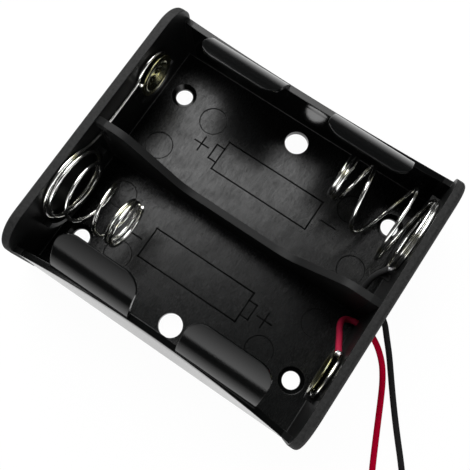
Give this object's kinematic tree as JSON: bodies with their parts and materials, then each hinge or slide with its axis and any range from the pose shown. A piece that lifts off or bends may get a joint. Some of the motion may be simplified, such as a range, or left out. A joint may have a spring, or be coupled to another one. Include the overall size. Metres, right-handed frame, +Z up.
{
  "type": "cylindrical cell holder",
  "caption": "Open moulded tray that grips round cells side by side under clip tabs, with spring and button contacts wired in series and two leads out of one end.",
  "frame": {"origin": "middle of the tray's underside", "axes": "+X along the cells towards the end that the leads leave, +Z up to the open top"},
  "size_m": [0.1126, 0.0793, 0.0264],
  "materials": {
    "holder_plastic": "semi-gloss moulded",
    "contact_wire": "bright nickel plate",
    "button_nickel": "yellowish nickel plate",
    "solder": "bright solder",
    "red_insulation": "soft vinyl",
    "black_insulation": "soft vinyl",
    "tinned_copper": "tinned strands",
    "tie": "soft vinyl band"
  },
  "bodies": {
    "root": {"holder_body": "holder_plastic", "left_button": "button_nickel", "right_button": "button_nickel", "bridge_spring": "contact_wire", "negative_spring": "contact_wire", "positive_ring": "contact_wire", "red_lead_inside": "red_insulation", "black_lead_inside": "black_insulation", "red_solder": "solder", "black_solder": "solder", "red_lead": "red_insulation", "red_coil": "red_insulation", "red_tip": "tinned_copper", "red_tie": "tie", "black_lead": "black_insulation", "black_coil": "black_insulation", "black_tip": "tinned_copper", "black_tie": "tie"}
  },
  "joints": []
}
